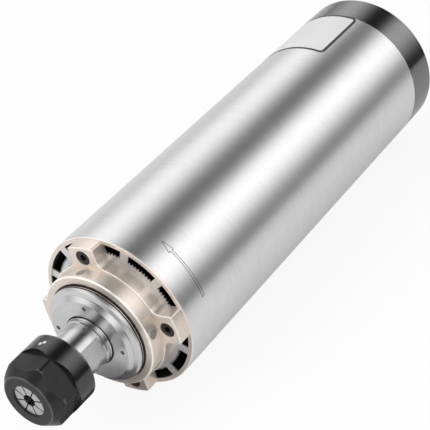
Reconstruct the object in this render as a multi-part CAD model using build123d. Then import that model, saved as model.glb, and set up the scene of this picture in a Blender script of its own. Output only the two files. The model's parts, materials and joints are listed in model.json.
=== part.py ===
from build123d import *
from math import asin, cos, degrees, radians, sin, sqrt, tan
import os

# Air cooled motor spindle for a routing machine, in millimetres.
# The spindle axis is Y. The nose points to -Y, the rear cover to +Y, and +Z is up.
# The origin is on the axis, at the front edge of the outer tube.
# Angles are in degrees about the axis, from +X towards +Z.

# Clearances
seat_clearance = 0.02        # radial, between parts that are pressed or screwed together
running_clearance = 0.05     # radial, between parts that turn or slide on each other
screw_clearance = 0.2        # radial, between a screw and its through hole
cut_over = 1.0               # how far a cut runs past the face that it opens

# Outer tube
housing_diameter = 80.0
housing_wall = 2.0
body_length = 218.3
tube_edge = 0.25             # bevel of the tube's outer edges, and of the cover's

# Front flange
lobe_count = 4
lobe_angle = 20.4
lobe_width = 14.6
lobe_step = 0.6              # radial, from the tube's outside in to a lobe's end
lobe_rounding = 1.0
lobe_edge = 0.3              # bevel round the front of the lobes
waist_step = 0.9             # radial, from the hub out to the waist between lobes
waist_fillet = 5.0
waist_fillet_share = 0.75    # most of the step from waist to lobe that a fillet may take
plate_thickness = 7.7
hub_wall = 4.3               # radial, round the front cap
hub_length = 7.7
hub_edge = 0.6
rim_thickness = 0.6
rim_width = 2.2
rim_step = 0.1               # radial, from the tube's outside in to the rim
bearing_setback = 6.4        # from the hub's face to the first bearing
bearing_stop = 2.0           # how far the shoulder behind the front bearings reaches in
bearing_stop_length = 2.0
cap_bore_edge = 0.25
plug_radius = 2.2
plug_depth = 3.0
plug_recess = 0.2
plug_setback = 3.6           # from the hub's face to the middle of a plug

# Screws of the flange
screw_inset = 5.4            # from a lobe's end to its screw
screw_radius = 2.0
screw_length = 16.0
head_radius = 3.5
head_height = 4.0
head_recess = 0.3
head_rounding = 0.4
hex_key = 3.0
hex_depth = 2.0
thread_depth = 14.0

# Front cap
cap_radius = 25.0
cap_reach = 6.1              # cap face in front of the hub's face
cap_hole_radius = 12.9
cap_plateau_step = 4.3       # radial, from the cap's outside in to its raised middle
cap_bevel = 1.7
cap_step = 0.4               # straight step behind the bevel
cap_shoulder_step = 0.8      # radial, from the cap's outside in to its shoulder
cap_shoulder_drop = 2.8
cap_rim_drop = 0.7
cap_wall = 3.5
cap_cavity_wall = 4.5        # radial, round the cap's cavity
cap_rounding = 0.9
groove_width = 0.55
groove_depth = 0.5
groove_spacing = 1.05
groove_setback = 0.2         # from the hub's face to the nearer groove
spanner_holes = 4
spanner_hole_radius = 1.05
spanner_hole_depth = 2.2
spanner_inset = 2.9          # from the edge of the raised middle to the spanner holes
spanner_angle = 6.5
seal_radius = 0.7
seal_groove_depth = 1.45
seal_groove_width = 1.9
seal_setback = 3.2           # from the first bearing to the middle of the seal

# Bearings: bore, outside and width, and their balls
front_bore = 25.0
front_outside = 47.0
front_width = 12.0
front_ball = 6.35
front_ball_count = 12
rear_bore = 15.0
rear_outside = 32.0
rear_width = 9.0
rear_ball = 4.76
rear_ball_count = 10
bearings_per_end = 2
race_share = 0.36            # from the pitch circle to a ring's land, as a share of a ball
cage_share = 0.16            # half of a cage's wall, as a share of a ball
ring_edge = 0.5              # rounding of a ring's corners
cage_setback = 1.2           # a cage's edge inside the rings' faces

# Cooling sleeve
fan_space = 42.3             # left behind the sleeve for fan and wiring
channel_depth = 5.8          # radial, of the air channels
sleeve_wall = 4.2
tooth_height = 1.4
teeth_per_channel = 8
rib_count = 12
rib_width = 4.2
rib_lead = 2.0               # thin ribs stand this many degrees past the lobes' pattern
wide_rib_width = 9.6

# Stator and rotor
stator_bore_radius = 17.3
slot_count = 18
slot_inner_radius = 19.0
back_iron = 2.8              # radial, behind the slots
slot_inner_width = 2.8
slot_outer_width = 5.0
slot_mouth = 1.2
slot_lining = 0.15
winding_front = 9.5
winding_rear = 12.0
winding_inner_radius = 18.6
winding_spread = 1.8         # how far the end turns stand out over the slots
winding_round_share = 0.286  # rounding of the end turns, as a share of their width
bracket_clearance = 6.5      # from the winding to the rear bracket
air_gap = 0.3
bar_count = 16
bar_radius = 1.4
bar_clearance = 0.05
bar_depth = 0.9              # from the rotor's surface to a bar
end_ring_step = 0.3          # from the rotor's surface down to the cage's rings
end_ring_width = 4.9
end_ring_length = 5.0
balance_ring_length = 4.0
balance_ring_radius = 14.5

# Shaft
nose_radius = 12.1           # pitch line of the nut's thread, which is modelled plain
neck_radius = 11.4
labyrinth_radius = 12.4
labyrinth_step = 0.4         # the front ridge is this much lower than the rear one
labyrinth_groove = 0.7
labyrinth_reach = 2.7        # how far the ridges stand out of the cap
labyrinth_front_length = 1.0
labyrinth_groove_length = 0.5
labyrinth_edge = 0.25
neck_length = 18.0           # from the cap's face to the nut
thread_length = 14.8
thread_relief = 1.5
nose_edge = 0.6
flat_distance = 10.5
flat_end = 4.0               # from the cap's face to the end of the wrench flats
flat_start = 1.0             # how far the flats run in under the nut
flat_angle = 29.2
shoulder_radius = 14.5
shoulder_length = 4.0
rotor_seat_radius = 10.0
rear_neck_radius = 9.5
lock_thread_radius = 7.0
lock_length = 6.0
fan_shoulder_radius = 6.5
fan_shoulder_length = 13.0
fan_seat_radius = 5.0
shaft_end_spare = 3.0
shaft_end_edge = 0.8
shaft_bore_radius = 4.5
shaft_bore_length = 14.0
shaft_bore_point = 2.7
taper_relief = 1.2

# Collet
collet_bore_radius = 3.0
collet_length = 31.5
collet_face_radius = 7.9
collet_front_angle = 30.0
collet_front_radius = 9.9
collet_groove_radius = 9.0
collet_groove_width = 2.8
collet_radius = 10.5
collet_land = 1.5
collet_taper_angle = 8.0
collet_recess = 0.8          # collet face behind the nut's face
collet_slots = 8             # from each end
collet_slot_width = 0.6
collet_slot_angle = 24.0
collet_web = 4.0             # left between a slot's end and the far face

# Collet nut
nut_radius = 17.0
nut_length = 24.5
nut_face_radius = 12.8
nut_bevel_length = 5.0
nut_flats = 6
nut_flat_distance = 15.0
nut_flat_angle = 47.0
nut_cutter_radius = 15.6
nut_flat_length = 14.4       # from the nut's face to the end of a flat at its middle
nut_rear_edge = 0.8
nut_mouth_edge = 0.3
nut_lip_width = 2.0
nut_lip_clearance = 0.25
nut_lip_offset = 0.7         # the milled recess stands this far off the axis
nut_front_gap = 0.3          # between the shaft's nose and the nut's inner step
nut_cavity_radius = 11.0
nut_entry_edge = 0.7
balance_spot_radius = 0.8
balance_spot_depth = 0.8
balance_spots = ((17.7, 110.9), (19.0, 106.4))   # from the nut's face, and angle

# Slinger
slinger_clearance = 1.5      # radial, inside the cap's cavity
slinger_disc = 3.0
slinger_gap = 1.0            # between the disc and the cap's front wall
slinger_hub_radius = 15.4
slinger_slots = 4
slinger_slot_width = 3.0
slinger_slot_depth = 2.0

# Rear bracket
bracket_plate = 6.0
bracket_gap = 1.0            # radial, between the plate's lobes and the tube
bracket_spigot = 29.5
bracket_lip = 1.7
bracket_stop = 2.5
bracket_boss_wall = 3.5
bracket_wall = 2.8
bracket_web = 14.0
spring_space = 1.8
spring_thickness = 0.5
spring_edge_gap = 0.2        # radial, at both edges of the spring
standoff_radius = 2.8
stud_length = 10.0
stud_gap = 0.5               # left at the bottom of a stud's hole

# Rear lock nut
lock_nut_radius = 11.5
lock_nut_slots = 4
lock_nut_slot_width = 3.0
lock_nut_slot_depth = 1.6

# Fan
fan_hub_radius = 12.0
fan_hub_length = 16.0
fan_blades = 7
fan_tip_gap = 3.2            # from the blades to the posts
blade_root_depth = 0.2       # share of the hub's radius that a blade's root is sunk
blade_chord = 17.0
blade_thickness = 1.6
blade_root_pitch = 45.0
blade_tip_pitch = 62.0
key_width = 3.0
key_length = 12.0
key_setback = 1.0            # from the fan's front face
washer_radius = 8.5
washer_thickness = 1.2
fan_nut_radius = 8.7
fan_nut_length = 6.0

# Rear cover
cover_length = 19.0
cover_back = 3.0
cover_edge = 0.6
cover_spigot_length = 6.0
cover_spigot_wall = 0.9
grille_rows = 3
grille_margin = 4.2          # from the outermost slots to the screws' middles
grille_slot_width = 3.2
grille_row_pitch = 4.8
grille_slots = 8
grille_rib_width = 3.0
countersink_radius = 3.8
cover_screw_length = 9.0
cover_hex_key = 2.5
cover_hex_depth = 1.8

# Power inlet
socket_radius = 8.0
socket_length = 10.0         # threaded barrel behind its flange
socket_flange_radius = 10.5
socket_flange_length = 2.0
socket_inside = 5.3          # how far it reaches inside the cover
socket_bore_radius = 6.6
socket_nut_radius = 11.0
socket_nut_length = 3.0
insulator_length = 12.3
pin_count = 4
pin_radius = 0.8
pin_circle = 3.9
pin_reach = 6.5
pin_tail = 3.0
pin_rounding = 0.5
socket_edge = 0.5

# Motor lead
lead_radius = 2.2
lead_angle = 65.4
lead_hole_clearance = 0.3
lead_wall_gap = 1.4          # between the lead and the tube
lead_bracket_gap = 0.1       # between the lead and the bracket's rear face
lead_crossing = 3.7          # the lead crosses to the axis this far behind the cover's edge
lead_bend = 0.45             # an arc's tangent as a share of the shorter run

# Sizes that follow from the ones above, and places along the axis
housing_radius = housing_diameter / 2
housing_bore_radius = housing_radius - housing_wall
lobe_radius = housing_radius - lobe_step
screw_circle = lobe_radius - screw_inset
hub_radius = cap_radius + hub_wall
cap_plateau_radius = cap_radius - cap_plateau_step
cap_shoulder_radius = cap_radius - cap_shoulder_step
cap_cavity_radius = cap_radius - cap_cavity_wall
spanner_circle = cap_plateau_radius - spanner_inset
slinger_radius = cap_cavity_radius - slinger_clearance
waist_radius = hub_radius + waist_step
sleeve_radius = housing_bore_radius - channel_depth
sleeve_bore_radius = sleeve_radius - sleeve_wall
slot_outer_radius = sleeve_bore_radius - back_iron
winding_outer_radius = slot_outer_radius + winding_spread
fan_tip_reach = screw_circle - standoff_radius - fan_tip_gap
bracket_boss_radius = rear_outside / 2 + seat_clearance + bracket_boss_wall
bracket_ring_radius = sleeve_bore_radius - seat_clearance - bracket_wall
lead_start_radius = (bracket_boss_radius + bracket_ring_radius) / 2
hub_face = -plate_thickness - hub_length
cap_face = hub_face - cap_reach
nut_rear = cap_face - neck_length
nut_face = nut_rear - nut_length
collet_face = nut_face + collet_recess
bearing_front = hub_face + bearing_setback
front_bearing_end = bearing_front + bearings_per_end * front_width
core_front = front_bearing_end + shoulder_length + balance_ring_length + end_ring_length
sleeve_length = body_length - fan_space
bracket_front = sleeve_length - bracket_spigot
core_rear = bracket_front - bracket_clearance - winding_rear
balance_rear = core_rear + end_ring_length + balance_ring_length
spring_front = bracket_front + bracket_lip
rear_bearing_front = spring_front + spring_space
rear_bearing_end = rear_bearing_front + bearings_per_end * rear_width
lock_end = rear_bearing_end + lock_length
fan_front = lock_end + fan_shoulder_length
fan_rear = fan_front + fan_hub_length
washer_rear = fan_rear + washer_thickness
shaft_end = washer_rear + fan_nut_length + shaft_end_spare
bracket_rear = sleeve_length + bracket_plate
cover_rear = body_length + cover_length
cover_inside = cover_rear - cover_back


def turned(*profile, rounds=None):
    """Solid turned about the axis from (radius, y) corners, some of them rounded."""
    rounds = rounds or {}
    radii = [rounds.get(corner, 0) for corner in range(len(profile))]
    return revolve(make_face(FilletPolyline(*profile, radius=radii, close=True)), Axis.Y)


def tube(inner, outer, front, rear):
    """Plain ring between two places on the axis."""
    return turned((inner, front), (outer, front), (outer, rear), (inner, rear))


def rod(radius, front, rear):
    return extrude(Plane.XZ.offset(-rear) * Circle(radius), rear - front)


def prism(sketch, front, rear):
    """A sketch in (x, z) drawn out along the axis."""
    return extrude(Plane.XZ.offset(-rear) * sketch, rear - front)


def turn_to(angle, item):
    """Moves an item made at angle 0, on +X, to its angle about the axis."""
    return Rot(Y=-angle) * item


def spread(count, item, start=0.0):
    return [turn_to(start + step * 360 / count, item) for step in range(count)]


def spread_flat(count, sketch, start=0.0):
    """Copies of a sketch about its own origin."""
    return [Rot(Z=start + step * 360 / count) * sketch for step in range(count)]


def hexagon(across_flats):
    return RegularPolygon(across_flats / 2, 6, major_radius=False)


def lobed_outline(reach, corner):
    """Waist circle with four lobes that carry the screws."""
    lobe = Pos(reach / 2, 0) * Rectangle(reach + 2 * corner, lobe_width)
    outline = Circle(waist_radius) + (Circle(reach) & (Sketch() + spread_flat(lobe_count, lobe, lobe_angle)))
    distance = lambda vertex: sqrt(vertex.X ** 2 + vertex.Y ** 2)
    middle = (waist_radius + reach) / 2
    waist = min(waist_fillet, waist_fillet_share * (reach - waist_radius))
    outline = fillet([v for v in outline.vertices() if distance(v) < middle], waist)
    return fillet([v for v in outline.vertices() if distance(v) > reach - 0.01], corner)


def socket_screw(length, seat):
    """Socket head screw along the axis, its head's underside at seat and its point to the rear."""
    top = seat - head_height
    screw = turned(
        (0, top), (head_radius, top), (head_radius, seat), (screw_radius, seat),
        (screw_radius, seat + length), (0, seat + length),
        rounds={1: head_rounding},
    )
    return screw - prism(hexagon(hex_key), top - cut_over, top + hex_depth)


# Static parts of the body


def make_outer_housing():
    return turned(
        (housing_bore_radius, 0), (housing_radius - tube_edge, 0), (housing_radius, tube_edge),
        (housing_radius, body_length - tube_edge), (housing_radius - tube_edge, body_length),
        (housing_bore_radius, body_length),
    )


def make_cooling_sleeve():
    reach = housing_bore_radius - seat_clearance
    half_rib = degrees(asin(rib_width / 2 / sleeve_radius))
    channel = 360 / rib_count - 2 * half_rib
    outline = []
    for rib in range(rib_count):
        middle = lobe_angle + rib_lead + rib * 360 / rib_count
        corners = ((sleeve_radius, -1), (housing_radius, -1), (housing_radius, 1), (sleeve_radius, 1))
        turn = radians(middle)
        for along, side in corners:
            across = side * rib_width / 2
            outline.append((along * cos(turn) - across * sin(turn), along * sin(turn) + across * cos(turn)))
        for tooth in range(teeth_per_channel):
            for part, radius in ((0.5, sleeve_radius + tooth_height), (1.0, sleeve_radius)):
                if tooth + part < teeth_per_channel:
                    turn = radians(middle + half_rib + channel * (tooth + part) / teeth_per_channel)
                    outline.append((radius * cos(turn), radius * sin(turn)))
    fins = make_face(Polyline(*outline, close=True)) & Circle(reach)
    wide_rib = Pos(housing_radius / 2, 0) * Rectangle(housing_radius, wide_rib_width)
    wide_ribs = (Sketch() + spread_flat(lobe_count, wide_rib, lobe_angle)) & Circle(reach)
    section = fins + wide_ribs - Circle(sleeve_bore_radius)
    sleeve = prism(section, 0, sleeve_length)
    hole = Pos(screw_circle, 0, 0) * rod(screw_radius + seat_clearance, -cut_over, thread_depth)
    stud_hole = Pos(screw_circle, 0, 0) * rod(
        screw_radius + seat_clearance, sleeve_length - stud_length, sleeve_length + cut_over
    )
    return sleeve - spread(lobe_count, hole, lobe_angle) - spread(lobe_count, stud_hole, lobe_angle)


def make_front_flange():
    bearing_radius = front_outside / 2 + seat_clearance
    cap_bore = cap_radius + running_clearance
    stop = front_outside / 2 - bearing_stop
    spigot = sleeve_bore_radius - seat_clearance
    spigot_end = front_bearing_end + bearing_stop_length
    core = turned(
        (cap_bore + cap_bore_edge, hub_face), (hub_radius - hub_edge, hub_face),
        (hub_radius, hub_face + hub_edge), (hub_radius, 0), (spigot, 0), (spigot, spigot_end),
        (stop, spigot_end),
        (stop, front_bearing_end), (bearing_radius, front_bearing_end), (bearing_radius, bearing_front),
        (cap_bore, bearing_front), (cap_bore, hub_face + cap_bore_edge),
    )
    plate = prism(lobed_outline(lobe_radius, lobe_rounding), -plate_thickness, 0)
    front_face = plate.faces().sort_by(Axis.Y)[0]
    plate = chamfer(front_face.outer_wire().edges(), lobe_edge) - rod(bearing_radius, -plate_thickness, 0)
    rim_radius = housing_radius - rim_step
    rim = turned(
        (housing_radius - rim_width, -rim_thickness), (rim_radius - tube_edge, -rim_thickness),
        (rim_radius, tube_edge - rim_thickness), (rim_radius, 0), (housing_radius - rim_width, 0),
    )
    flange = core + plate + rim
    seat = -plate_thickness + head_recess + head_height
    head_hole = rod(head_radius + screw_clearance, -plate_thickness - cut_over, seat)
    shank_hole = rod(screw_radius + screw_clearance, seat - cut_over, cut_over)
    screw_hole = Pos(screw_circle, 0, 0) * (head_hole + shank_hole)
    plug_hole = Pos(hub_radius - plug_depth, hub_face + plug_setback, 0) * Rot(Y=90) * Cylinder(
        plug_radius, 2 * plug_depth, align=(Align.CENTER, Align.CENTER, Align.MIN)
    )
    flange -= spread(lobe_count, screw_hole, lobe_angle)
    return flange - spread(lobe_count, plug_hole, lobe_angle)


def make_flange_screws():
    seat = -plate_thickness + head_recess + head_height
    screw = Pos(screw_circle, 0, 0) * socket_screw(screw_length, seat)
    return spread(lobe_count, screw, lobe_angle)


def make_flange_plugs():
    length = plug_depth - plug_recess
    plug = Pos(hub_radius - plug_depth, hub_face + plug_setback, 0) * Rot(Y=90) * Cylinder(
        plug_radius - seat_clearance, length, align=(Align.CENTER, Align.CENTER, Align.MIN)
    )
    return spread(lobe_count, plug & rod(hub_radius - plug_recess, hub_face, 0), lobe_angle)


def make_front_cap():
    bevel_y = cap_face + cap_bevel
    shoulder_y = cap_face + cap_shoulder_drop
    edge_radius = cap_plateau_radius + cap_bevel
    seal_start = bearing_front - seal_setback - seal_groove_width / 2
    groove_front = hub_face - groove_width - groove_setback
    cap = turned(
        (cap_hole_radius, cap_face), (cap_plateau_radius, cap_face), (edge_radius, bevel_y),
        (edge_radius, bevel_y + cap_step), (cap_shoulder_radius, shoulder_y),
        (cap_radius, shoulder_y + cap_rim_drop), (cap_radius, bearing_front),
        (cap_cavity_radius, bearing_front), (cap_cavity_radius, cap_face + cap_wall),
        (cap_hole_radius, cap_face + cap_wall),
        rounds={4: cap_rounding, 5: cap_rounding / 2},
    )
    for row in range(2):
        front = groove_front - row * groove_spacing
        cap -= tube(cap_radius - groove_depth, cap_radius + cut_over, front, front + groove_width)
    seal_end = seal_start + seal_groove_width
    cap -= tube(cap_radius - seal_groove_depth, cap_radius + cut_over, seal_start, seal_end)
    spanner_end = cap_face + spanner_hole_depth
    spanner_hole = Pos(spanner_circle, 0, 0) * rod(spanner_hole_radius, cap_face - cut_over, spanner_end)
    return cap - spread(spanner_holes, spanner_hole, spanner_angle)


def make_cap_seal_ring():
    ring_radius = cap_radius + running_clearance - seat_clearance - seal_radius
    return Pos(0, bearing_front - seal_setback, 0) * Rot(X=90) * Torus(ring_radius, seal_radius)


def make_stator_core():
    slot = make_face(Polyline(
        (slot_inner_radius, slot_inner_width / 2), (slot_outer_radius, slot_outer_width / 2),
        (slot_outer_radius, -slot_outer_width / 2), (slot_inner_radius, -slot_inner_width / 2), close=True,
    ))
    mouth_length = 2 * (slot_inner_radius - stator_bore_radius)
    mouth = Pos(stator_bore_radius + mouth_length / 4, 0) * Rectangle(mouth_length, slot_mouth)
    ring = Circle(sleeve_bore_radius - seat_clearance) - Circle(stator_bore_radius)
    return prism(ring - spread_flat(slot_count, slot + mouth), core_front, core_rear)


def make_stator_winding():
    rounding = winding_round_share * (winding_outer_radius - winding_inner_radius)
    inner, outer = slot_inner_radius + slot_lining, slot_outer_radius - slot_lining
    half_in, half_out = slot_inner_width / 2 - slot_lining, slot_outer_width / 2 - slot_lining
    bundle = make_face(Polyline(
        (inner, half_in), (outer, half_out), (outer, -half_out), (inner, -half_in), close=True,
    ))
    bars = prism(Sketch() + spread_flat(slot_count, bundle), core_front - cut_over, core_rear + cut_over)
    front = turned(
        (winding_inner_radius, core_front), (winding_inner_radius, core_front - winding_front),
        (winding_outer_radius, core_front - winding_front), (winding_outer_radius, core_front),
        rounds={1: rounding, 2: rounding},
    )
    rear = turned(
        (winding_inner_radius, core_rear), (winding_inner_radius, core_rear + winding_rear),
        (winding_outer_radius, core_rear + winding_rear), (winding_outer_radius, core_rear),
        rounds={1: rounding, 2: rounding},
    )
    return front + rear + bars


def make_rear_bracket():
    bearing_radius = rear_outside / 2 + seat_clearance
    spigot = sleeve_bore_radius - seat_clearance
    stop = rear_outside / 2 - bracket_stop
    web_front = bracket_rear - bracket_web
    core = turned(
        (stop, bracket_front), (bracket_boss_radius, bracket_front), (bracket_boss_radius, web_front),
        (bracket_ring_radius, web_front), (bracket_ring_radius, bracket_front),
        (spigot, bracket_front), (spigot, bracket_rear),
        (bearing_radius, bracket_rear), (bearing_radius, spring_front), (stop, spring_front),
    )
    outline = lobed_outline(housing_bore_radius - bracket_gap, lobe_rounding) - Circle(bearing_radius)
    plate = prism(outline, sleeve_length, bracket_rear)
    stud_hole = rod(screw_radius + screw_clearance, sleeve_length - cut_over, bracket_rear + cut_over)
    bracket = core + plate - spread(lobe_count, Pos(screw_circle, 0, 0) * stud_hole, lobe_angle)
    radius = lead_radius + lead_hole_clearance
    hole = Pos(lead_start_radius, 0, 0) * rod(radius, bracket_front - cut_over, bracket_rear + cut_over)
    notch = Pos(lead_start_radius, sleeve_length, 0) * Box(
        housing_radius, bracket_plate + cut_over, 2 * radius, align=(Align.MIN, Align.MIN, Align.CENTER)
    )
    return bracket - turn_to(lead_angle, hole) - turn_to(lead_angle, notch)


def make_preload_spring():
    outer = rear_outside / 2 - spring_edge_gap
    inner = rear_outside / 2 - bracket_stop + spring_edge_gap
    return turned(
        (inner, spring_front), (outer, rear_bearing_front - spring_thickness),
        (outer, rear_bearing_front), (inner, spring_front + spring_thickness),
    )


def make_cover_standoffs():
    post = rod(standoff_radius, bracket_rear, cover_inside)
    stud = rod(screw_radius, sleeve_length - stud_length + stud_gap, bracket_rear + cut_over)
    hole = rod(screw_radius + seat_clearance, cover_inside - cover_screw_length, cover_inside + cut_over)
    return spread(lobe_count, Pos(screw_circle, 0, 0) * (post + stud - hole), lobe_angle)


def make_rear_cover():
    spigot = housing_bore_radius - seat_clearance
    cover = turned(
        (0, cover_rear), (housing_radius - cover_edge, cover_rear), (housing_radius, cover_rear - cover_edge),
        (housing_radius, body_length + tube_edge), (housing_radius - tube_edge, body_length),
        (spigot, body_length), (spigot, body_length - cover_spigot_length),
        (spigot - cover_spigot_wall, body_length - cover_spigot_length),
        (spigot - cover_spigot_wall, cover_inside), (0, cover_inside),
    )
    for row in range(grille_rows):
        outer = screw_circle - grille_margin - row * grille_row_pitch
        ring = Circle(outer) - Circle(outer - grille_slot_width)
        rib = Rectangle(2 * housing_radius, grille_rib_width)
        ribs = Sketch() + spread_flat(grille_slots // 2, rib, lobe_angle)
        cover -= prism(ring - ribs, cover_inside - cut_over, cover_rear + cut_over)
    cover -= rod(socket_radius + running_clearance, cover_inside - cut_over, cover_rear + cut_over)
    shank = screw_radius + screw_clearance
    head = countersink_radius + screw_clearance
    screw_hole = turned(
        (0, cover_inside - cut_over), (shank, cover_inside - cut_over), (shank, cover_rear - (head - shank)),
        (head, cover_rear), (head, cover_rear + cut_over), (0, cover_rear + cut_over),
    )
    return cover - spread(lobe_count, Pos(screw_circle, 0, 0) * screw_hole, lobe_angle)


def make_cover_screws():
    tip = cover_rear - cover_screw_length
    screw = turned(
        (0, tip), (screw_radius, tip), (screw_radius, cover_rear - (countersink_radius - screw_radius)),
        (countersink_radius, cover_rear), (0, cover_rear),
    )
    screw -= prism(hexagon(cover_hex_key), cover_rear - cover_hex_depth, cover_rear + cut_over)
    return spread(lobe_count, Pos(screw_circle, 0, 0) * screw, lobe_angle)


# Power inlet in the middle of the rear cover


def make_socket_shell():
    flange_rear = cover_rear + socket_flange_length
    rear = flange_rear + socket_length
    front = cover_inside - socket_inside
    return turned(
        (socket_bore_radius, front), (socket_radius, front), (socket_radius, cover_rear),
        (socket_flange_radius, cover_rear), (socket_flange_radius, flange_rear),
        (socket_radius, flange_rear), (socket_radius, rear), (socket_bore_radius, rear),
        rounds={6: socket_edge},
    )


def make_socket_nut():
    sketch = hexagon(2 * socket_nut_radius * cos(radians(30))) - Circle(socket_radius + running_clearance)
    return prism(sketch, cover_inside - socket_nut_length, cover_inside)


def make_socket_insulator():
    front = cover_inside - socket_inside
    pin_hole = Pos(pin_circle, 0) * Circle(pin_radius + seat_clearance)
    sketch = Circle(socket_bore_radius - seat_clearance) - spread_flat(pin_count, pin_hole)
    return prism(sketch, front, front + insulator_length)


def make_socket_pins():
    front = cover_inside - socket_inside
    rear = front + insulator_length + pin_reach
    pin = turned(
        (0, front - pin_tail), (pin_radius, front - pin_tail), (pin_radius, rear), (0, rear),
        rounds={2: pin_rounding},
    )
    return spread(pin_count, Pos(pin_circle, 0, 0) * pin)


def make_motor_lead():
    hall = housing_bore_radius - lead_wall_gap - lead_radius
    start = core_rear + winding_rear
    crossing_front = bracket_rear + lead_bracket_gap + lead_radius
    crossing_rear = body_length + lead_crossing
    end = cover_inside - socket_inside
    route = [
        (lead_start_radius, start), (lead_start_radius, crossing_front), (hall, crossing_front),
        (hall, crossing_rear), (0, crossing_rear), (0, end),
    ]
    runs = [Vector(*b) - Vector(*a) for a, b in zip(route, route[1:])]
    bends = [lead_bend * min(a.length, b.length) for a, b in zip(runs, runs[1:])]
    path = FilletPolyline(*route, radius=bends)
    section = Plane(origin=(*route[0], 0), z_dir=(0, 1, 0)) * Circle(lead_radius)
    return turn_to(lead_angle, sweep(section, path=path))


# Bearings


def bearing(bore, outside, width, ball, ball_count, front):
    """Outer ring, inner ring, balls and cage of one ball bearing."""
    pitch = (bore + outside) / 4
    land = ball * race_share
    rear = front + width
    race = Pos(0, front + width / 2, 0) * Rot(X=90) * Torus(pitch, ball / 2 + running_clearance)
    outer = turned(
        (pitch + land, front), (outside / 2, front), (outside / 2, rear), (pitch + land, rear),
        rounds={1: ring_edge, 2: ring_edge},
    ) - race
    inner = turned(
        (bore / 2, front), (pitch - land, front), (pitch - land, rear), (bore / 2, rear),
        rounds={0: ring_edge, 3: ring_edge},
    ) - race
    balls = spread(ball_count, Pos(pitch, front + width / 2, 0) * Sphere(ball / 2))
    cage_wall = ball * cage_share
    pocket = Pos(pitch, front + width / 2, 0) * Rot(Y=90) * Cylinder(ball / 2 + running_clearance, ball)
    cage = tube(pitch - cage_wall, pitch + cage_wall, front + cage_setback, rear - cage_setback)
    return outer, inner, balls, cage - spread(ball_count, pocket)


def bearing_set(bore, outside, width, ball, ball_count, front):
    """The bearings of one end, side by side."""
    outers, inners, balls, cages = [], [], [], []
    for place in range(bearings_per_end):
        outer, inner, ring_balls, cage = bearing(
            bore, outside, width, ball, ball_count, front + place * width
        )
        outers.append(outer)
        inners.append(inner)
        balls += ring_balls
        cages.append(cage)
    return outers, inners, balls, cages


# Turning parts


def taper_radius(y):
    """Radius of the collet's rear taper at a place on the axis."""
    groove_front = collet_face + (collet_front_radius - collet_face_radius) / tan(radians(collet_front_angle))
    start = groove_front + collet_groove_width + collet_land
    return collet_radius - (y - start) * tan(radians(collet_taper_angle))


def slinger_front():
    return cap_face + cap_wall + slinger_gap


def make_shaft():
    nose = nut_rear - thread_length
    thread_end = nut_rear - thread_relief
    ridge = cap_face - labyrinth_reach
    groove_start = ridge + labyrinth_front_length
    groove_end = groove_start + labyrinth_groove_length
    front_ridge = labyrinth_radius - labyrinth_step
    groove_radius = labyrinth_radius - labyrinth_groove
    front_seat = front_bore / 2 - seat_clearance
    rear_seat = rear_bore / 2 - seat_clearance
    shoulder_end = front_bearing_end + shoulder_length
    shaft = turned(
        (0, nose), (nose_radius - nose_edge, nose), (nose_radius, nose + nose_edge),
        (nose_radius, thread_end), (neck_radius, thread_end + nose_radius - neck_radius),
        (neck_radius, ridge),
        (front_ridge, ridge + labyrinth_edge), (front_ridge, groove_start), (groove_radius, groove_start),
        (groove_radius, groove_end), (labyrinth_radius - labyrinth_edge, groove_end),
        (labyrinth_radius, groove_end + labyrinth_edge), (labyrinth_radius, slinger_front()),
        (front_seat, slinger_front()), (front_seat, front_bearing_end),
        (shoulder_radius, front_bearing_end), (shoulder_radius, shoulder_end),
        (rotor_seat_radius, shoulder_end), (rotor_seat_radius, balance_rear),
        (rear_neck_radius, balance_rear), (rear_neck_radius, rear_bearing_front),
        (rear_seat, rear_bearing_front), (rear_seat, rear_bearing_end),
        (lock_thread_radius, rear_bearing_end), (lock_thread_radius, lock_end),
        (fan_shoulder_radius, lock_end), (fan_shoulder_radius, fan_front), (fan_seat_radius, fan_front),
        (fan_seat_radius, shaft_end - shaft_end_edge), (fan_seat_radius - shaft_end_edge, shaft_end),
        (0, shaft_end),
    )
    taper_end = collet_face + collet_length + taper_relief
    bore_end = taper_end + shaft_bore_length
    shaft -= turned(
        (0, nose - cut_over), (taper_radius(nose - cut_over) + running_clearance, nose - cut_over),
        (taper_radius(taper_end) + running_clearance, taper_end), (shaft_bore_radius, taper_end),
        (shaft_bore_radius, bore_end), (0, bore_end + shaft_bore_point),
    )
    flat = Pos(flat_distance, nut_rear - flat_start, 0) * Box(
        neck_radius, cap_face - flat_end - (nut_rear - flat_start), 3 * neck_radius,
        align=(Align.MIN, Align.MIN, Align.CENTER),
    )
    return shaft - spread(2, flat, flat_angle) - make_fan_key()


def make_slinger():
    front = slinger_front()
    disc_rear = front + slinger_disc
    inner = front_bore / 2
    ring = turned(
        (inner, front), (slinger_radius, front), (slinger_radius, disc_rear),
        (slinger_hub_radius, disc_rear), (slinger_hub_radius, bearing_front), (inner, bearing_front),
    )
    slot = Pos(slinger_radius - slinger_slot_depth, front - cut_over, 0) * Box(
        2 * slinger_slot_depth, slinger_disc + 2 * cut_over, slinger_slot_width,
        align=(Align.MIN, Align.MIN, Align.CENTER),
    )
    return ring - spread(slinger_slots, slot)


def rotor_radius():
    return stator_bore_radius - air_gap


def make_rotor_core():
    bar_circle = rotor_radius() - bar_depth - bar_radius
    hole = Pos(bar_circle, 0) * Circle(bar_radius + bar_clearance)
    ring = Circle(rotor_radius()) - Circle(rotor_seat_radius + seat_clearance)
    return prism(ring - spread_flat(bar_count, hole), core_front, core_rear)


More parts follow.
